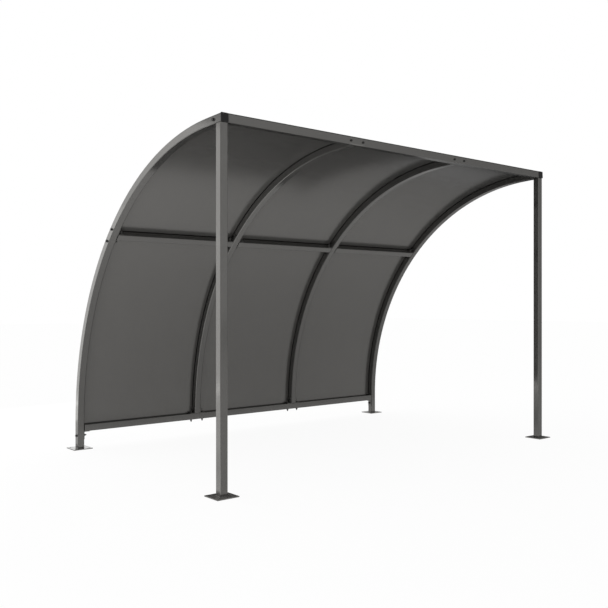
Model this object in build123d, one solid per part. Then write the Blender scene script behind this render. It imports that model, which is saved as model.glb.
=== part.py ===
from build123d import *
from math import cos, radians, sin, sqrt
import os

# Bike shelter: ribs of square tube, each bent to nearly a quarter circle, under curved sheets that
# form roof and back wall in one sweep. The front is open.
# +X runs along the shelter, -Y is the open front and +Z is up. The origin is on the ground,
# in the middle of the shelter's length and depth.

# Driving dimensions in millimetres.
length = 3100                 # over the outer faces of the end ribs
depth = 2075                  # from the open ends of the ribs to the backs of the legs
height = 2200                 # to the top of the sheets at the open front
bays = 3
tube = 50                     # square hollow section, outside
tube_wall = 2
tube_corner = 4               # outside corner radius of the section
bent_corner = 2.5             # flat on a corner of the bent tube, in place of that radius
bend_outer = 1994             # radius of a rib's bend, at its outer face
bend_angle = 87.8             # short of a right angle, so the roof still rises at the front
post_setback = 4              # from the rib ends back to the front face of a post
sheet = 3                     # thickness of the cladding
sheet_gap = 2                 # joint between two sheets
sheet_inset = 8               # from the outer face of an end rib to the sheets
skirt = 130                   # lower edge of the cladding and of the bottom rail
rail_gap = 2                  # between the end of a rail and the rib it is bolted to
rail_angle = 45.1             # of the middle rail, round the bend from the top of the legs
plate_size = 145
plate_thickness = 6
anchor_hole = 14              # diameter
anchor_spacing = 105
cap_flange = 4
cap_chamfer = 1.5
cap_plug = 16                 # how far a cap goes into its tube
cap_wall = 3
cap_clearance = 0.2
bracket_width = 40
bracket_rail_leg = 45
bracket_rib_leg = 60
bracket_thickness = 4
bracket_bend = 3              # inside radius of a bracket's corner

# Places worked out from them.
half_tube = tube / 2
bend_radius = bend_outer - half_tube
leg_y = (depth - tube - post_setback) / 2
front_y = -leg_y - half_tube - post_setback
bend_y = leg_y - bend_radius
rise = cos(radians(bend_angle))
level = sin(radians(bend_angle))
upward = Vector(0, rise, level)         # square to the straight run in front of the bend
backward = Vector(0, level, -rise)      # along that run, towards the bend
nose = Vector(0, front_y, height - (half_tube + sheet) * level)
eaves_run = (bend_y + bend_radius * rise - front_y) / level
bend_start = nose.Z - bend_radius * level - eaves_run * rise
rail_z = skirt + half_tube
end_x = length / 2 - half_tube
pitch = 2 * end_x / bays
rib_x = [-end_x + pitch * number for number in range(bays + 1)]
rail_radius = sqrt(bend_outer**2 - half_tube**2) - half_tube
bay_names = ["left", "centre", "right"]
side_names = ["left", "right"]


def tube_section():
    inside = tube - 2 * tube_wall
    return (RectangleRounded(tube, tube, tube_corner)
            - RectangleRounded(inside, inside, tube_corner - tube_wall))


def bent_section():
    """The same section with flat corners, which keeps the long bends light to facet."""
    inside = tube - 2 * tube_wall
    outline = Rectangle(tube, tube)
    return chamfer(outline.vertices(), bent_corner) - Rectangle(inside, inside)


def straight_tube(start, end, across):
    """A square tube from one point to another, with a face that looks along across."""
    run = Vector(end) - Vector(start)
    return extrude(Plane(start, x_dir=across, z_dir=run) * tube_section(), run.length)


def on_bend(x, radius, angle):
    """A point of the bend. Angles count from the top of the legs."""
    return Vector(x, bend_y + radius * cos(radians(angle)), bend_start + radius * sin(radians(angle)))


def arch_line(radius, first=0, last=bend_angle, foot_z=None, run=0):
    """The line of the bend at a radius, in the plane X = 0, with a straight leg down to a foot
    and a straight run past the bend if they are given."""
    bend_plane = Plane((0, bend_y, bend_start), x_dir=(0, 1, 0), z_dir=(1, 0, 0))
    edges = [bend_plane * CenterArc((0, 0), radius, first, last - first)]
    if foot_z is not None:
        edges.insert(0, Line((0, bend_y + radius, foot_z), on_bend(0, radius, first)))
    if run:
        bend_end = on_bend(0, radius, last)
        edges.append(Line(bend_end, bend_end - backward * run))
    return Wire(edges)


def swept(section, line):
    """A section carried along a line in the plane X = 0, with its width along X."""
    return sweep(Plane(line @ 0, x_dir=(1, 0, 0), z_dir=line % 0) * section, path=line)


def rib(x, foot_z, run):
    return Pos(x, 0, 0) * swept(bent_section(), arch_line(bend_radius, foot_z=foot_z, run=run))


def front_post(x):
    """A post cut at the top to seat under the rising end of a rib."""
    post = straight_tube((0, -leg_y, plate_thickness), (0, -leg_y, nose.Z), (1, 0, 0))
    underside = Plane(nose - upward * half_tube, z_dir=-upward)
    return Pos(x, 0, 0) * split(post, bisect_by=underside, keep=Keep.TOP)


def base_plate(x, y):
    plate = Box(plate_size, plate_size, plate_thickness, align=(Align.CENTER, Align.CENTER, Align.MIN))
    holes = GridLocations(anchor_spacing, anchor_spacing, 2, 2) * Cylinder(anchor_hole / 2, plate_size)
    return Pos(x, y, 0) * (plate - holes)


def end_cap(x):
    """A moulded cap whose hollow plug sits inside the open end of a rib. Its flange also covers
    the edge of the sheet above."""
    inside = tube - 2 * (tube_wall + cap_clearance)
    hollow = inside - 2 * cap_wall
    flange = extrude(Pos(0, -sheet / 2) * RectangleRounded(tube, tube + sheet, tube_corner), -cap_flange)
    flange = chamfer(flange.faces().sort_by(Axis.Z)[0].edges(), cap_chamfer)
    plug = extrude(Rectangle(inside, inside), cap_plug)
    recess = extrude(Rectangle(hollow, hollow), cap_plug)
    face = Plane(nose, x_dir=(1, 0, 0), z_dir=backward)
    return Pos(x, 0, 0) * face * (flange + plug - recess)


def angle_bracket():
    """A bent angle in the corner of +X and +Y, with its width centred on Z: the rail leg
    lies along X and the rib leg along Y."""
    outline = Polyline((0, 0), (bracket_rail_leg, 0), (bracket_rail_leg, bracket_thickness),
                       (bracket_thickness, bracket_thickness), (bracket_thickness, bracket_rib_leg),
                       (0, bracket_rib_leg), (0, 0))
    bracket = extrude(make_face(outline), bracket_width / 2, both=True)
    inner = bracket.edges().filter_by(Axis.Z).sort_by_distance((bracket_thickness, bracket_thickness, 0))[0]
    return fillet(inner, bracket_bend)


def placed_bracket(corner, along, up):
    """A bracket with its corner at a point, its rail leg along one direction and its rib leg
    along the other."""
    along, up = Vector(along), Vector(up)
    return Plane(corner, x_dir=along, z_dir=along.cross(up)) * angle_bracket()


def bay_ends(bay):
    """The rib faces at both ends of a bay, each with the direction into the bay."""
    return [(rib_x[bay] + half_tube, 1), (rib_x[bay + 1] - half_tube, -1)]


def mid_rail_brackets(bay):
    """Four brackets, above and below both ends of the middle rail in a bay."""
    along_bend = Vector(0, -sin(radians(rail_angle)), cos(radians(rail_angle)))
    brackets = []
    for x, inward in bay_ends(bay):
        for side in [1, -1]:
            corner = on_bend(x, rail_radius, rail_angle) + along_bend * (side * half_tube)
            brackets.append(placed_bracket(corner, (inward, 0, 0), along_bend * side))
    return brackets


def bottom_rail_brackets():
    """Brackets under the rail at the end legs and on it at both sides of a middle rib."""
    brackets = [placed_bracket((rib_x[0] + half_tube, leg_y, skirt), (1, 0, 0), (0, 0, -1)),
                placed_bracket((rib_x[-1] - half_tube, leg_y, skirt), (-1, 0, 0), (0, 0, -1))]
    for x in rib_x[1:-1]:
        for side in [1, -1]:
            corner = (x + side * half_tube, leg_y, skirt + tube)
            brackets.append(placed_bracket(corner, (side, 0, 0), (0, 0, 1)))
    return brackets


def beam_brackets():
    """Brackets behind the front beam, one at each end of every bay."""
    return [placed_bracket(nose + backward * tube + Vector(x, 0, 0), (inward, 0, 0), backward)
            for bay in range(bays) for x, inward in bay_ends(bay)]


def cladding(bay, radius, **line):
    """A curved sheet across one bay; it meets its neighbours over the ribs."""
    left = rib_x[bay] + sheet_gap / 2 if bay > 0 else sheet_inset - length / 2
    right = rib_x[bay + 1] - sheet_gap / 2 if bay < bays - 1 else length / 2 - sheet_inset
    sheet_section = Rectangle(right - left, sheet)
    return Pos((left + right) / 2, 0, 0) * swept(sheet_section, arch_line(radius, **line))


parts = {}
for side, x in zip(side_names, [rib_x[0], rib_x[-1]]):
    parts[f"base_plate_front_{side}"] = base_plate(x, -leg_y)
    parts[f"base_plate_rear_{side}"] = base_plate(x, leg_y)
    parts[f"front_post_{side}"] = front_post(x)
    parts[f"end_rib_{side}"] = rib(x, plate_thickness, eaves_run)
    parts[f"end_cap_{side}"] = end_cap(x)
for side, x in zip(side_names, rib_x[1:-1]):
    parts[f"middle_rib_{side}"] = rib(x, skirt + tube, eaves_run - tube)

rail_ends = [rib_x[0] + half_tube, rib_x[-1] - half_tube]
beam_start, beam_end = [nose + backward * half_tube + Vector(x, 0, 0) for x in rail_ends]
parts["front_beam"] = straight_tube(beam_start, beam_end, upward)
parts["bottom_rail"] = straight_tube((rail_ends[0] + rail_gap, leg_y, rail_z),
                                     (rail_ends[1] - rail_gap, leg_y, rail_z), (0, 0, 1))

outward = (0, cos(radians(rail_angle)), sin(radians(rail_angle)))
sheet_radius = bend_outer + sheet / 2
joint_angle = sheet_gap / 2 / radians(1) / bend_outer
for bay, name in enumerate(bay_names):
    rail_start, rail_end = [on_bend(x + inward * rail_gap, rail_radius, rail_angle)
                            for x, inward in bay_ends(bay)]
    parts[f"mid_rail_{name}"] = straight_tube(rail_start, rail_end, outward)
    parts[f"lower_panel_{name}"] = cladding(bay, sheet_radius, last=rail_angle - joint_angle, foot_z=skirt)
    parts[f"upper_panel_{name}"] = cladding(bay, sheet_radius, first=rail_angle + joint_angle, run=eaves_run)
    parts[f"mid_rail_brackets_{name}"] = Compound(children=mid_rail_brackets(bay))
parts["bottom_rail_brackets"] = Compound(children=bottom_rail_brackets())
parts["beam_brackets"] = Compound(children=beam_brackets())

os.makedirs("parts", exist_ok=True)
for node, shape in parts.items():
    export_step(shape, f"parts/{node}.step")
    print(node, [round(value, 1) for value in shape.bounding_box().size], round(shape.volume))
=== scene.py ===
import math
import random

import bpy
from mathutils import Matrix, Vector


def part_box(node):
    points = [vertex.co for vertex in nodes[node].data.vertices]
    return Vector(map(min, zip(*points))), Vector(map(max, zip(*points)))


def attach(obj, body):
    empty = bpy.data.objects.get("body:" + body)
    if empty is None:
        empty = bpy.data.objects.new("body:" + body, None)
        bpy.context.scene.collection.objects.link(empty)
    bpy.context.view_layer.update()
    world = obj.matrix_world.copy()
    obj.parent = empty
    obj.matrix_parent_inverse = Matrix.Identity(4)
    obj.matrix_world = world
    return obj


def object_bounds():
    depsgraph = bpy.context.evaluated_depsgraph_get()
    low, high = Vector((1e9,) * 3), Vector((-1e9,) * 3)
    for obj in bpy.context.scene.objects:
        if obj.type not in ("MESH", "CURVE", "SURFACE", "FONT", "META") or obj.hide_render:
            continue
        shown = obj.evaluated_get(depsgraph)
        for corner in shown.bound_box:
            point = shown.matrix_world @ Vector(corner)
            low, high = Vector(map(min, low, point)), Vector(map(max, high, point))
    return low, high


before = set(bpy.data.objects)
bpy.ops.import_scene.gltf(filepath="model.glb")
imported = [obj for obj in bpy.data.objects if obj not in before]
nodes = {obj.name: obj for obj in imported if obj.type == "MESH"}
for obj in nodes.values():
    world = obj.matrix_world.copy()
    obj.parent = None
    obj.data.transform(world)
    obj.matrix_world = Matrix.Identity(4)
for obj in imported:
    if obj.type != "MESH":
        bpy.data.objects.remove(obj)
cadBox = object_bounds()
dice = random.Random(7)                                # turns the bolt heads, the same way each run

# places that the fastenings and the marks on the finishes are set out from
tubeLow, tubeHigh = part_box("end_rib_left")
sheetLow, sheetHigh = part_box("upper_panel_left")
sillLow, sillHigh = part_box("bottom_rail")
railLow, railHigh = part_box("mid_rail_left")
plateLow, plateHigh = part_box("base_plate_front_left")
plateX = abs(plateLow.x + plateHigh.x) / 2
tube = tubeHigh.x - tubeLow.x
endX = abs(tubeLow.x + tubeHigh.x) / 2                 # the middle of an end rib
legY = (sillLow.y + sillHigh.y) / 2
sillZ = (sillLow.z + sillHigh.z) / 2
railCentre = (railLow + railHigh) / 2
middleX = [(low.x + high.x) / 2 for low, high in (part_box("middle_rib_left"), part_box("middle_rib_right"))]
bracketThickness = 0.004

# the ribs: a bend that stops short of a right angle, and a straight run that rises to the nose
bend = {"radius": 1.994, "angle": math.radians(87.8), "railAngle": math.radians(45.1), "sheet": 0.003,
        "setback": 0.004}
rise, level = math.cos(bend["angle"]), math.sin(bend["angle"])
upward, backward = Vector((0, rise, level)), Vector((0, level, -rise))
nose = Vector((0, -legY - tube / 2 - bend["setback"], sheetHigh.z - (tube / 2 + bend["sheet"]) * level))
bendY = tubeHigh.y - bend["radius"]
run = (bendY + (bend["radius"] - tube / 2) * rise - nose.y) / level
bendZ = nose.z - (bend["radius"] - tube / 2) * level - run * rise
railUp = Vector((0, -math.sin(bend["railAngle"]), math.cos(bend["railAngle"])))


# metres left and ahead of the solids' box and up, degrees to the right, millimetres, part of the width
view = {"left": 2.364, "ahead": 3.814, "height": 1.106, "turn": 41.309, "lens": 46.73, "shift": -46 / 608}


def makeCamera():
    place = (cadBox[0].x - view["left"], cadBox[0].y - view["ahead"], view["height"])
    bpy.ops.object.camera_add(location=place, rotation=(math.radians(90), 0, -math.radians(view["turn"])))
    camera = bpy.context.object
    camera.name = "camera"
    camera.data.lens = view["lens"]
    camera.data.shift_x = view["shift"]
    bpy.context.scene.camera = camera


class Value:
    # a socket that Python arithmetic can use; every expression adds its Math nodes

    def __init__(self, shader, socket):
        self.shader, self.socket = shader, socket

    def __add__(self, other): return self.shader.maths("ADD", self, other)
    def __radd__(self, other): return self.shader.maths("ADD", other, self)
    def __sub__(self, other): return self.shader.maths("SUBTRACT", self, other)
    def __rsub__(self, other): return self.shader.maths("SUBTRACT", other, self)
    def __mul__(self, other): return self.shader.maths("MULTIPLY", self, other)
    def __rmul__(self, other): return self.shader.maths("MULTIPLY", other, self)
    def __truediv__(self, other): return self.shader.maths("DIVIDE", self, other)
    def __rtruediv__(self, other): return self.shader.maths("DIVIDE", other, self)
    def __abs__(self): return self.shader.maths("ABSOLUTE", self)

    def over(self, low, high):
        # 0 below low and 1 above high, with a soft step between
        return self.shader.add("MapRange", {"interpolation_type": "SMOOTHSTEP"},
                               {"Value": self, "From Min": low, "From Max": high})


class Shader:
    def __init__(self, owner):
        owner.use_nodes = True
        self.tree = owner.node_tree
        self.tree.nodes.clear()

    def add(self, kind, settings=None, sockets=None, output=0):
        node = self.tree.nodes.new("ShaderNode" + kind)
        for name, value in (settings or {}).items():
            setattr(node, name, value)
        for name, value in (sockets or {}).items():
            if isinstance(value, Value):
                self.tree.links.new(value.socket, node.inputs[name])
            else:
                node.inputs[name].default_value = value
        return Value(self, node.outputs[output]) if node.outputs else node

    def maths(self, operation, first, second=0.0, clamp=False):
        return self.add("Math", {"operation": operation, "use_clamp": clamp}, {0: first, 1: second})

    def clamped(self, value):
        return self.maths("ADD", value, 0.0, clamp=True)

    def parts(self, vector):
        return [self.add("SeparateXYZ", None, {"Vector": vector}, output=axis) for axis in "XYZ"]

    def noise(self, place, scale, detail=2.0, roughness=0.5):
        return self.add("TexNoise", None,
                        {"Vector": place, "Scale": scale, "Detail": detail, "Roughness": roughness})

    def mixColours(self, factor, first, second):
        return self.add("Mix", {"data_type": "RGBA"}, {0: factor, 6: first, 7: second}, output=2)

    def tinted(self, colour, amount):
        # a colour made lighter or darker by a value
        return self.add("VectorMath", {"operation": "SCALE"}, {"Vector": colour, "Scale": amount})


# how much the white room is dimmed, and where that sets in, as parts of a ray's direction
room = {"front": 0.06, "right": 0.3, "rightOver": (0.55, 0.85), "high": 0.08, "highOver": (0.17, 0.27),
        "behindOver": (-0.5, 0.1), "behindRight": 0.9, "behindRightOver": (0.6, 0.8)}


def makeWorld():
    # white all round, dimmer in front of the shelter and far to its right, though not to the camera
    world = bpy.data.worlds.new("studio")
    bpy.context.scene.world = world
    shader = Shader(world)
    seen = shader.add("LightPath", output="Is Camera Ray")
    x, y, z = shader.parts(shader.add("TexCoord", output="Generated"))
    behind = y.over(*room["behindOver"])
    ahead = (room["front"] + x.over(*room["rightOver"]) * room["right"]
             + z.over(*room["highOver"]) * room["high"])
    dimmed = (1 - behind) * ahead + behind * x.over(*room["behindRightOver"]) * room["behindRight"]
    light = shader.add("Background", None, {"Color": (1, 1, 1, 1), "Strength": 1 - dimmed * (1 - seen)})
    shader.add("OutputWorld", None, {"Surface": light})


# the floor's own tone, and how much darker it is mirrored: a painted shadow under the shelter, and painted
# shade ahead of it and away from it
ground = {"size": 80, "colour": (0.98, 0.98, 0.98, 1), "glow": 0.93,
          "plateShade": (0.06, 0.058, 0.055, 1), "plateShadeInset": 0.004,
          "under": 0.32, "underAt": -0.25, "underWide": 0.8, "front": 0.14, "frontOver": (-1.5, -0.5),
          "right": 0.25, "rightOver": (1.5, 12), "far": 0.75, "farOverX": (4.5, 10.5), "farOverY": (1, 4)}


def makeFloor():
    bpy.ops.mesh.primitive_plane_add(size=ground["size"], location=(0, 0, cadBox[0].z))
    floor = bpy.context.object
    floor.name = "floor"
    material = bpy.data.materials.new("pale_floor")
    shader = Shader(material)
    seen = shader.add("LightPath", output="Is Camera Ray")
    mirrored = shader.clamped(shader.add("LightPath", output="Is Glossy Ray")
                              + shader.add("LightPath", output="Is Transmission Ray"))
    x, y, _ = shader.parts(shader.add("TexCoord", output="Object"))
    # painted shadow under the shelter and painted shade ahead of it and far to its right, seen only in
    # reflections
    under = (1 - abs(y - ground["underAt"]).over(0, ground["underWide"])) * ground["under"]
    ahead = (1 - y.over(*ground["frontOver"])) * ground["front"]
    kept = 1 - shader.maths("MAXIMUM", under, ahead)
    away = (x.over(*ground["rightOver"]) * ground["right"]
            + x.over(*ground["farOverX"]) * y.over(*ground["farOverY"]) * ground["far"])
    dimmed = (1 - kept * (1 - away)) * mirrored

    # painted shade: the floor is dark and without glow inside the base plates' outlines, so that the anchor
    # holes look shaded
    fromPlate = shader.maths("MAXIMUM", abs(abs(x) - plateX), abs(abs(y) - legY))
    plateShade = shader.maths("LESS_THAN", fromPlate, (plateHigh.x - plateLow.x) / 2 - ground["plateShadeInset"])
    matt = shader.add("BsdfDiffuse", None,
                      {"Color": shader.mixColours(plateShade, ground["colour"], ground["plateShade"])})
    glow = shader.add("Emission", None, {"Color": (1, 1, 1, 1)})
    black = shader.add("Emission", None, {"Color": (0, 0, 0, 1)})
    glowing = shader.clamped(seen + mirrored) * (1 - plateShade) * ground["glow"]
    shown = shader.add("MixShader", None, {0: glowing, 1: matt, 2: glow})
    surface = shader.add("MixShader", None, {0: dimmed, 1: shown, 2: black})
    shader.add("OutputMaterial", None, {"Surface": surface})
    floor.data.materials.append(material)


lamps = {
    "rear_softbox": {"at": (-2.4, 3.6, 1.65), "towards": (-2.3, 2.6, 1.65), "size": (6.4, 3.3),
                     "radiance": 1.22},
    "rear_strip": {"at": (-2.55, 3.55, 1.1), "towards": (-2.45, 2.55, 1.1), "size": (1.6, 2.2),
                   "radiance": 0.65},
    "floor_card": {"at": (-3.46, 1.4, 0.01), "towards": (-3.46, 1.4, 1.0), "size": (3.7, 6.2),
                   "radiance": 1.0},
    "small_card": {"at": (-2.6, 3.0, 0.02), "towards": (-2.6, 3.0, 1.0), "size": (1.6, 1.4),
                   "radiance": 1.7},
}


def makeLamps():
    for name, lamp in lamps.items():
        aim = Vector(lamp["towards"]) - Vector(lamp["at"])
        turn = aim.to_track_quat("-Z", "Y").to_euler()
        bpy.ops.object.light_add(type="AREA", location=lamp["at"], rotation=turn)
        light = bpy.context.object
        light.name = name
        light.data.shape = "RECTANGLE"
        light.data.size, light.data.size_y = lamp["size"]
        light.data.energy = lamp["radiance"] * math.pi * lamp["size"][0] * lamp["size"][1]
        light.visible_camera = False


makeCamera()
makeWorld()
makeFloor()
makeLamps()
print("camera, room and lamps are set")


# corner, edge and dustTop are in metres, and the scales are in cells a metre
frameCoat = {"colour": (0.124, 0.1214, 0.1164), "metallic": 0.7, "edgeTint": 0.5, "roughness": 0.1,
             "corner": 0.001, "edge": 0.006, "edgeShade": 0.85, "creaseShadeDepth": 0.8, "flake": 0.3,
             "blotch": 0.08, "fine": 0.4, "peelScale": 520, "peel": 0.03, "dust": 0.25, "dustTop": 0.10}
panelCoat = {"colour": (0.134, 0.131, 0.1255), "metallic": 0.58, "edgeTint": 0.15, "roughness": 0.2,
             "corner": 0.0, "edge": 0.0, "creaseShadeDepth": 0.65, "flake": 0.3, "blotch": 0.05, "fine": 0.3,
             "peelScale": 700, "peel": 0.025, "dust": 0.1, "dustTop": 0.2}
plateCoat = {"colour": (0.168, 0.1645, 0.1575), "metallic": 0.5, "edgeTint": 0.5, "roughness": 0.2,
             "corner": 0.001, "edge": 0.0, "flake": 0.16, "blotch": 0.1, "fine": 0.1,
             "peelScale": 420, "peel": 0.03, "dust": 0.15, "dustTop": 0.012}
bracketCoat = {"colour": (0.112, 0.1097, 0.105), "metallic": 0.7, "edgeTint": 0.5, "roughness": 0.24,
               "corner": 0.001, "edge": 0.0, "flake": 0.16, "blotch": 0.12, "fine": 0.1,
               "peelScale": 520, "peel": 0.03, "dust": 0.1, "dustTop": 0.2}
weldCoat = {"colour": (0.116, 0.1136, 0.1087), "metallic": 0.7, "edgeTint": 0.5, "roughness": 0.3,
            "corner": 0.0, "edge": 0.0, "flake": 0.16, "blotch": 0.12, "fine": 0.1,
            "peelScale": 170, "peel": 0.2, "dust": 0.1, "dustTop": 0.1}

# what every coat shares: the sizes of its patterns, and where edge and dust set in
coat = {"flakeScale": 1800.0, "blotchScale": 7.0, "fineScale": 150.0, "edgeOver": (0.01, 0.12),
        "dustOver": (0.35, 0.75), "dustColour": (0.22, 0.21, 0.19, 1), "dustRough": 0.3,
        "blotchRough": 0.08, "fineRough": 0.04, "peelFiner": 3.1, "finerShare": 0.3, "peelDepth": 0.001}

# the painted crease shade where sheet and tube meet, rain streaks, and the painted highlight on one rib, with
# lengths in metres
paintedCreaseShade = {"onSheet": (0.002, 0.008), "onTube": 0.005, "behindSheet": (0.0005, 0.0012),
          "fromEnd": (0.010, 0.006), "belowSill": 0.001, "fromNose": (0.004, 0.020)}
streak = {"across": 28, "along": 0.9, "amount": 0.05}
ribHighlight = {"beside": 0.02, "half": 0.01, "depth": (0.004, 0.007), "along": (2.23, 2.65), "lighter": 0.45}


def bendPlace(shader, place):
    # where a point is: along the shelter, out from the bend's centre, round the bend, back and up
    x, y, z = shader.parts(place)
    out = y - bendY
    up = shader.maths("MAXIMUM", z - bendZ, 0.0)
    past = shader.maths("MAXIMUM", up * rise - out * level, 0.0)
    radius = shader.maths("SQRT", out * out + up * up - past * past)
    along = shader.maths("ARCTAN2", up, out) * bend["radius"]
    return x, radius, along, y, z


def sheetStreaksAndCreaseShade(shader, place):
    # faint rain streaks drawn out along the bend, and painted shade in the creases where a sheet meets a tube
    x, radius, along, y, z = bendPlace(shader, place)
    drawn = shader.add("CombineXYZ", None, {"X": x * streak["across"], "Y": along * streak["along"]})
    streaks = (shader.noise(drawn, 1.0, 4, 0.6) - 0.5) * streak["amount"]
    halfBay = (middleX[1] - middleX[0]) / 2
    fromRib = shader.maths("PINGPONG", x + endX, halfBay) - tube / 2
    fromRail = abs(along - bend["railAngle"] * bend["radius"]) - tube / 2
    fromTube = shader.maths("MINIMUM", shader.maths("MINIMUM", fromRib, fromRail),
                            shader.maths("MINIMUM", z - sillHigh.z, y - (nose + backward * tube).y))
    behindSheet = radius.over(*[bend["radius"] + depth for depth in paintedCreaseShade["behindSheet"]])
    return streaks, (1 - fromTube.over(*paintedCreaseShade["onSheet"])) * (1 - behindSheet)


def tubeCreaseShade(shader, place):
    # the same painted crease shade on the tubes' sides, along the sheets, but not on the end ribs' outer
    # faces
    x, radius, _, y, z = bendPlace(shader, place)
    near = radius.over(bend["radius"] - paintedCreaseShade["onTube"], bend["radius"] - paintedCreaseShade["onTube"] / 3)
    atEnd = abs(x).over(*[abs(tubeLow.x) - inset for inset in paintedCreaseShade["fromEnd"]])
    aboveSill = z.over(sillLow.z - paintedCreaseShade["belowSill"], sillLow.z)
    behindNose = y.over(*[nose.y + inset for inset in paintedCreaseShade["fromNose"]])
    return 0.0, near * (1 - atEnd) * aboveSill * behindNose


def innerSideHighlight(shader, place):
    # the left middle rib's face into the shelter: its left edge is spared the painted edge shade, and its
    # upper part gets a painted highlight
    x, radius, along = bendPlace(shader, place)[:3]
    fromMiddle = x - middleX[0]
    depth = [bend["radius"] - tube + step for step in ribHighlight["depth"]]
    face = (1 - abs(fromMiddle).over(tube, tube + ribHighlight["beside"])) * (1 - radius.over(*depth))
    leftHalf = 1 - fromMiddle.over(0.0, ribHighlight["half"])
    return face * leftHalf, face * along.over(*ribHighlight["along"]) * ribHighlight["lighter"]


def paintedMetal(name, look, marks=None):
    # metallic powder coat: flakes under an orange-peel skin, with a little dust near the ground
    material = bpy.data.materials.new(name)
    shader = Shader(material)
    place = shader.add("TexCoord", output="Object")
    cells = shader.add("TexVoronoi", None, {"Vector": place, "Scale": coat["flakeScale"]}, output="Color")
    flake = shader.add("SeparateColor", None, {"Color": cells})
    blotch = shader.noise(place, coat["blotchScale"], 4, 0.6)
    fine = shader.noise(place, coat["fineScale"], 3, 0.6)
    height = shader.parts(place)[2]
    low = 1 - height.over(0, look["dustTop"])
    dust = shader.clamped(low * fine.over(*coat["dustOver"]) * look["dust"])
    tone = 1 + (flake - 0.5) * look["flake"] + (blotch - 0.5) * look["blotch"] + (fine - 0.5) * look["fine"]
    metallic = look["metallic"]
    if marks:
        streaks, creaseShadeMask = marks(shader, place)
        # painted shade: the creases are darkened and made fully metallic, so that they show near black
        tone = (tone + streaks) * (1 - creaseShadeMask * look["creaseShadeDepth"])
        metallic = look["metallic"] + creaseShadeMask * (1 - look["metallic"])
    if look["edge"]:                                   # painted shade along the tubes' edges, for the dark that their rounded corners reflect
        softened = shader.add("Bevel", {"samples": 8}, {"Radius": look["edge"]})
        flat = shader.add("NewGeometry", output="Normal")
        turned = 1 - shader.add("VectorMath", {"operation": "DOT_PRODUCT"}, {0: softened, 1: flat},
                                output="Value")
        # kept spares that rib's left edge from the painted edge shade, and lighter is its painted highlight
        kept, lighter = innerSideHighlight(shader, place)
        tone = tone * (1 - turned.over(*coat["edgeOver"]) * (1 - kept) * look["edgeShade"]) * (1 + lighter)
    colour = shader.mixColours(dust, shader.tinted(look["colour"], tone), coat["dustColour"])
    rough = (look["roughness"] + (blotch - 0.5) * coat["blotchRough"] + (fine - 0.5) * coat["fineRough"]
             + dust * coat["dustRough"])
    peel = (shader.noise(place, look["peelScale"], 2) * (1 - coat["finerShare"])
            + shader.noise(place, look["peelScale"] * coat["peelFiner"], 1) * coat["finerShare"])
    relief = {"Strength": look["peel"], "Distance": coat["peelDepth"], "Height": peel}
    if look["corner"]:                                 # softens the flats along the corners of the tubes
        relief["Normal"] = shader.add("Bevel", {"samples": 6}, {"Radius": look["corner"]})
    skin = shader.add("Bump", None, relief)
    surface = shader.add("BsdfPrincipled", None, {
        "Base Color": colour, "Metallic": metallic, "Roughness": rough, "Normal": skin,
        "Specular Tint": (look["edgeTint"],) * 3 + (1,)})
    shader.add("OutputMaterial", None, {"Surface": surface})
    return material


capPlastic = {"colour": (0.015, 0.015, 0.015), "roughness": 0.55, "specular": 0.15, "grainScale": 1500.0,
              "cloudScale": 40.0, "grain": 0.15}


def mouldedPlastic(name, look):
    # matt black cap with the fine grain of an eroded mould
    material = bpy.data.materials.new(name)
    shader = Shader(material)
    place = shader.add("TexCoord", output="Object")
    grain = shader.noise(place, look["grainScale"], 2)
    cloud = shader.noise(place, look["cloudScale"], 3)
    colour = shader.tinted(look["colour"], 0.9 + cloud * 0.2)
    skin = shader.add("Bump", None, {"Strength": look["grain"], "Distance": 0.0005, "Height": grain})
    surface = shader.add("BsdfPrincipled", None, {
        "Base Color": colour, "Roughness": look["roughness"] + (cloud - 0.5) * 0.1, "Normal": skin,
        "Specular IOR Level": look["specular"]})
    shader.add("OutputMaterial", None, {"Surface": surface})
    return material


boltFinish = {"colour": (0.035, 0.034, 0.033), "bare": (0.16, 0.155, 0.15, 1), "roughness": 0.38}
nutFinish = {"colour": (0.10, 0.098, 0.094), "bare": (0.26, 0.255, 0.245, 1), "roughness": 0.35}
zinc = {"cloudScale": 260.0, "rubbedOver": (0.58, 0.75), "rubbed": 0.5, "metallic": 0.8}


def blackenedSteel(name, look):
    # dark zinc on the fasteners, rubbed a little brighter in places
    material = bpy.data.materials.new(name)
    shader = Shader(material)
    place = shader.add("TexCoord", output="Object")
    cloud = shader.noise(place, zinc["cloudScale"], 4, 0.65)
    rubbed = cloud.over(*zinc["rubbedOver"]) * zinc["rubbed"]
    colour = shader.tinted(look["colour"], 0.8 + cloud * 0.4)
    colour = shader.mixColours(rubbed, colour, look["bare"])
    skin = shader.add("Bump", None, {"Strength": 0.1, "Distance": 0.0004, "Height": cloud})
    rough = look["roughness"] + rubbed * -0.15 + cloud * 0.1
    surface = shader.add("BsdfPrincipled", None, {
        "Base Color": colour, "Metallic": zinc["metallic"], "Roughness": rough, "Normal": skin})
    shader.add("OutputMaterial", None, {"Surface": surface})
    return material


finishes = {"frame_coat": paintedMetal("frame_coat_finish", frameCoat, tubeCreaseShade),
            "panel_coat": paintedMetal("panel_coat_finish", panelCoat, sheetStreaksAndCreaseShade),
            "base_plates": paintedMetal("base_plate_finish", plateCoat),
            "brackets": paintedMetal("bracket_finish", bracketCoat),
            "cap_plastic": mouldedPlastic("cap_plastic_finish", capPlastic)}
boltSteel = blackenedSteel("bolt_finish", boltFinish)
nutZinc = blackenedSteel("nut_finish", nutFinish)
weldFinish = paintedMetal("weld_finish", weldCoat)
for node in nodes.values():
    for slot in node.material_slots:
        slot.material = finishes[slot.material.name.split(".")[0]]
print("finishes are on the frame and the sheets")


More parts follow.
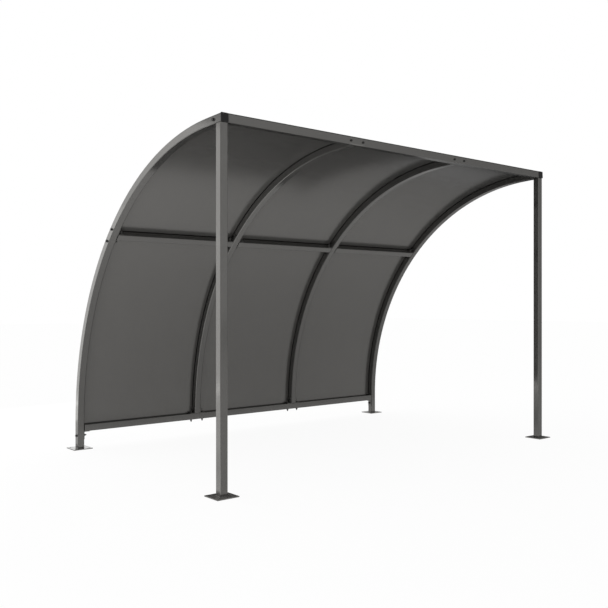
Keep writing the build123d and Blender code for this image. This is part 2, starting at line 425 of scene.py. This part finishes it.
def selectOnly(*things):
    bpy.ops.object.select_all(action="DESELECT")
    for thing in things:
        thing.select_set(True)
    bpy.context.view_layer.objects.active = things[0]


def pickFaces(thing, test):
    # leaves edit mode on, with the faces selected whose centre and normal pass the test
    bpy.ops.object.mode_set(mode="EDIT")
    bpy.ops.mesh.select_mode(type="FACE")
    bpy.ops.mesh.select_all(action="DESELECT")
    bpy.ops.object.mode_set(mode="OBJECT")
    for face in thing.data.polygons:
        face.select = test(face.center, face.normal)
    bpy.ops.object.mode_set(mode="EDIT")


def topFace(centre, normal):
    return normal.z > 0.99


def joined(pieces, name):
    selectOnly(*pieces)
    if len(pieces) > 1:
        bpy.ops.object.join()
    piece = bpy.context.object
    piece.name = piece.data.name = name
    return piece


def setDown(piece, angle=35):
    # place, turn and size go into the mesh
    selectOnly(piece)
    bpy.ops.object.transform_apply(location=True, rotation=True, scale=True)
    bpy.ops.object.shade_smooth_by_angle(angle=math.radians(angle))


def facing(point, direction, turn=0.0):
    # carries a piece modelled on +Z at the origin to a point, with +Z along a direction
    aim = Vector(direction).normalized().to_track_quat("Z", "Y").to_matrix().to_4x4()
    return Matrix.Translation(point) @ aim @ Matrix.Rotation(turn, 4, "Z")


def copies(pattern, places, turned=True):
    made = []
    for point, direction in places:
        piece = pattern.copy()
        piece.data = pattern.data.copy()
        bpy.context.scene.collection.objects.link(piece)
        piece.data.transform(facing(point, direction, dice.uniform(0, math.pi / 3) if turned else 0.0))
        made.append(piece)
    return made


def fitted(pieces, name, material):
    piece = joined(pieces, name)
    piece.data.materials.clear()
    piece.data.materials.append(material)
    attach(piece, "root")
    return piece


bolt = {"flats": 0.015, "flange": 0.021, "rim": 0.0012, "cone": 0.0014, "shoulder": 0.7, "height": 0.009,
        "headRecess": 0.0004, "nutHeight": 0.012, "nutRecess": 0.0008, "bevel": 0.0009, "bevelRise": 0.0005,
        "ring": 0.0012, "smallHead": 0.8, "thread": 0.009, "root": 0.86, "pitch": 0.00125, "end": 0.010,
        "sunk": 0.001}


def flangedHex(name, height, recess):
    # a hexagon on a coned flange, seated on Z = 0
    bpy.ops.mesh.primitive_cylinder_add(vertices=24, radius=bolt["flange"] / 2, depth=bolt["rim"],
                                        location=(0, 0, bolt["rim"] / 2))
    flange = bpy.context.object
    pickFaces(flange, topFace)
    bpy.ops.mesh.inset(thickness=(bolt["flange"] - bolt["flats"]) / 2 * bolt["shoulder"])
    bpy.ops.transform.translate(value=(0, 0, bolt["cone"]))
    bpy.ops.object.mode_set(mode="OBJECT")
    base = bolt["rim"] / 2
    bpy.ops.mesh.primitive_cylinder_add(vertices=6, radius=bolt["flats"] / math.sqrt(3), depth=height - base,
                                        location=(0, 0, (height + base) / 2))
    hexagon = bpy.context.object
    pickFaces(hexagon, topFace)
    bpy.ops.mesh.inset(thickness=bolt["bevel"])
    bpy.ops.transform.translate(value=(0, 0, bolt["bevelRise"]))
    bpy.ops.mesh.inset(thickness=bolt["ring"])
    bpy.ops.transform.translate(value=(0, 0, -recess))
    bpy.ops.object.mode_set(mode="OBJECT")
    piece = joined([flange, hexagon], name)
    setDown(piece)
    return piece


def threadedEnd(name, reach, start):
    # a bolt end with its thread, as rings drawn out one after another
    root, half = bolt["root"], bolt["pitch"] / 2
    bpy.ops.mesh.primitive_circle_add(vertices=12, radius=bolt["thread"] / 2 * root, fill_type="NGON",
                                      location=(0, 0, start))
    piece = bpy.context.object
    bpy.ops.object.mode_set(mode="EDIT")
    bpy.ops.mesh.select_all(action="SELECT")
    for _ in range(int(reach / bolt["pitch"])):
        for wide in (1 / root, root):
            bpy.ops.mesh.extrude_region_move(TRANSFORM_OT_translate={"value": (0, 0, half)})
            bpy.ops.transform.resize(value=(wide, wide, 1))
    bpy.ops.object.mode_set(mode="OBJECT")
    piece.name = name
    setDown(piece, 25)
    return piece


washerLook = {"wide": 0.028, "rim": 0.0006, "rings": ((0.0007, 0.0012),), "pin": 0.0}
lowLook = {"wide": 0.014, "rim": 0.0006, "rings": ((0.0010, 0.0008), (0.0020, 0.0008), (0.0016, 0.0002)),
           "pin": 0.0012}
rivetLook = {"wide": 0.012, "rim": 0.0006, "rings": ((0.0012, 0.0008), (0.0016, 0.0005), (0.0014, 0.0002)),
             "pin": 0.0008}
pinEdge = 0.0002                                       # the flat left round a pin's hole


def buttonHead(name, look):
    # a low round head, raised ring by ring from its rim; pin is the depth of a hole in its middle
    bpy.ops.mesh.primitive_cylinder_add(vertices=20, radius=look["wide"] / 2, depth=look["rim"],
                                        location=(0, 0, look["rim"] / 2))
    piece = bpy.context.object
    pickFaces(piece, topFace)
    for step, lift in look["rings"]:
        bpy.ops.mesh.inset(thickness=step)
        bpy.ops.transform.translate(value=(0, 0, lift))
    if look["pin"]:
        bpy.ops.mesh.inset(thickness=pinEdge)
        bpy.ops.transform.translate(value=(0, 0, -look["pin"]))
    bpy.ops.object.mode_set(mode="OBJECT")
    piece.name = name
    setDown(piece, 50)
    return piece


boltHead = flangedHex("bolt_head", bolt["height"], bolt["headRecess"])
nutBody = flangedHex("nut_body", bolt["nutHeight"], bolt["nutRecess"])
nut = joined([nutBody, threadedEnd("thread", bolt["end"], bolt["nutHeight"] - bolt["sunk"])], "nut")
smallHead = boltHead.copy()                            # a size smaller, for the beam
smallHead.data = boltHead.data.copy()
smallHead.data.transform(Matrix.Scale(bolt["smallHead"], 4))
bpy.context.scene.collection.objects.link(smallHead)
washer = buttonHead("washer", washerLook)
lowHead = buttonHead("low_head", lowLook)
rivetHead = buttonHead("rivet_head", rivetLook)

# how far the bolts through a bracket's two legs are from its corner
fixing = {"onRib": 0.030, "onRail": 0.028}
onRib = tube / 2 + fixing["onRib"]                     # from a rail's middle to the bolt through the rib
behindBeam = nose + backward * tube
sidePlaces = [railCentre + railUp * onRib, railCentre - railUp * onRib,
              behindBeam + backward * fixing["onRib"]]


def across(place, x):
    return Vector((x, place.y, place.z))


for side, sideName in ((-1, "left"), (1, "right")):
    ribPlaces = [*sidePlaces, Vector((0, legY, sillLow.z - fixing["onRib"]))]
    outer = abs(tubeLow.x) * side
    inner = (abs(tubeHigh.x) - bracketThickness) * side
    heads = copies(boltHead, [(across(place, outer), (side, 0, 0)) for place in ribPlaces])
    nuts = copies(nut, [(across(place, inner), (-side, 0, 0)) for place in ribPlaces])
    fitted(heads + nuts, f"rib_bolts_{sideName}", boltSteel)

for x, sideName in zip(middleX, ("left", "right")):
    ribPlaces = [*sidePlaces, Vector((0, legY, sillHigh.z + fixing["onRib"]))]
    reach = tube / 2 + bracketThickness
    heads = copies(boltHead, [(across(place, x - reach), (-1, 0, 0)) for place in ribPlaces])
    nuts = copies(nut, [(across(place, x + reach), (1, 0, 0)) for place in ribPlaces])
    fitted(heads, f"middle_rib_bolts_{sideName}", boltSteel)
    fitted(nuts, f"middle_rib_nuts_{sideName}", nutZinc)

bayEnds = []                                           # rib faces, each with the way into its bay
for x in (-endX, *middleX, endX):
    bayEnds += [(x + tube / 2 * way, way) for way in (-1, 1) if abs(x + tube / 2 * way) < endX]


def onEndRib(x):
    return abs(x) > endX / 2


railHeads, railNuts = [], []
for x, way in bayEnds:
    place = across(railCentre, x + way * fixing["onRail"])
    lift = railUp * (tube / 2 + bracketThickness)
    railHeads.append((place - lift, -railUp))
    railNuts.append((place + lift, railUp))
fitted(copies(lowHead, railHeads), "mid_rail_bolts", boltSteel)
fitted(copies(nut, railNuts), "mid_rail_nuts", nutZinc)

beamHeads, beamNuts = [], []
for x, way in bayEnds:
    at = x + way * fixing["onRail"]
    behind = across(behindBeam + backward * bracketThickness, at)
    if onEndRib(x):
        beamHeads.append((behind, backward))           # short screws at the end ribs
    else:
        beamHeads.append((across(nose, at), -backward))
        beamNuts.append((behind, backward))
fitted(copies(smallHead, beamHeads) + copies(nut, beamNuts), "beam_bolts", boltSteel)

washerRise = washerLook["rim"] + washerLook["rings"][0][1]
sillHeads, sillWashers, sillNuts, sillEnds = [], [], [], []
for x, way in bayEnds:
    at = x + way * fixing["onRail"]
    if onEndRib(x):
        sillEnds.append((Vector((at, legY, sillLow.z - bracketThickness)), (0, 0, -1)))
    else:
        seat = sillHigh.z + bracketThickness
        sillWashers.append((Vector((at, legY, seat)), (0, 0, 1)))
        sillHeads.append((Vector((at, legY, seat + washerRise)), (0, 0, 1)))
        sillNuts.append((Vector((at, legY, sillLow.z)), (0, 0, -1)))
sillPieces = (copies(washer, sillWashers) + copies(boltHead, sillHeads)
              + copies(lowHead, sillEnds) + copies(nut, sillNuts))
fitted(sillPieces, "bottom_rail_bolts", boltSteel)
print("bolts and nuts are in")


rivets = {"fromJoint": 0.012, "fromEdge": 0.025, "fromNose": 0.070, "alongSill": 4, "rows": 13,
          "firstAngle": 3, "stepAngle": 6.85}


def onSheet(x, angle):
    way = Vector((0, math.cos(angle), math.sin(angle)))
    return Vector((x, bendY, bendZ)) + way * (bend["radius"] + bend["sheet"]), way


def rivetLine(edge, way):
    # a line of rivets beside a joint, or a little further in from the edge on an end rib
    return edge + way * (rivets["fromEdge"] if abs(edge) > endX else rivets["fromJoint"])


angles = [math.radians(rivets["firstAngle"] + rivets["stepAngle"] * row) for row in range(rivets["rows"])]
for name in ("left", "centre", "right"):
    low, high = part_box(f"upper_panel_{name}")
    lines = [rivetLine(low.x, 1), rivetLine(high.x, -1)]
    places = [onSheet(x, angle) for x in lines for angle in angles]
    onRun = nose + backward * rivets["fromNose"] + upward * (tube / 2 + bend["sheet"])
    places += [(across(onRun, x), upward) for x in lines]
    for number in range(rivets["alongSill"]):          # along the bottom rail
        x = lines[0] + (lines[1] - lines[0]) * number / (rivets["alongSill"] - 1)
        places.append((Vector((x, tubeHigh.y + bend["sheet"], sillZ)), (0, 1, 0)))
    fitted(copies(rivetHead, places, turned=False), f"sheet_rivets_{name}",
           finishes["panel_coat"])
print("rivets are in")


# sunk is how far a bead starts inside its plate; rings are shares of the leg's rise, and of the width
weld = {"leg": 0.002, "corner": 0.005, "sunk": 0.0002, "rings": ((0.35, 0.99), (0.4, 0.955), (0.3, 0.942))}


def weldBead(x, y):
    # a fillet all round the foot of a post or leg
    bpy.ops.mesh.primitive_plane_add(size=tube + 2 * weld["leg"],
                                     location=(x, y, plateHigh.z - weld["sunk"]))
    piece = bpy.context.object
    bpy.ops.object.mode_set(mode="EDIT")
    bpy.ops.mesh.select_all(action="SELECT")
    bpy.ops.mesh.bevel(offset=weld["corner"], segments=4, affect="VERTICES")
    for lift, wide in weld["rings"]:
        bpy.ops.mesh.extrude_region_move(TRANSFORM_OT_translate={"value": (0, 0, weld["leg"] * lift)})
        bpy.ops.transform.resize(value=(wide, wide, 1))
    bpy.ops.object.mode_set(mode="OBJECT")
    setDown(piece, 60)
    return piece


beads = [weldBead(endX * side, y) for side in (-1, 1) for y in (-legY, legY)]
fitted(beads, "foot_welds", weldFinish)
print("welds are in")

for pattern in (boltHead, smallHead, nut, washer, lowHead, rivetHead):
    bpy.data.objects.remove(pattern)

bpy.context.scene.view_settings.view_transform = "Standard"
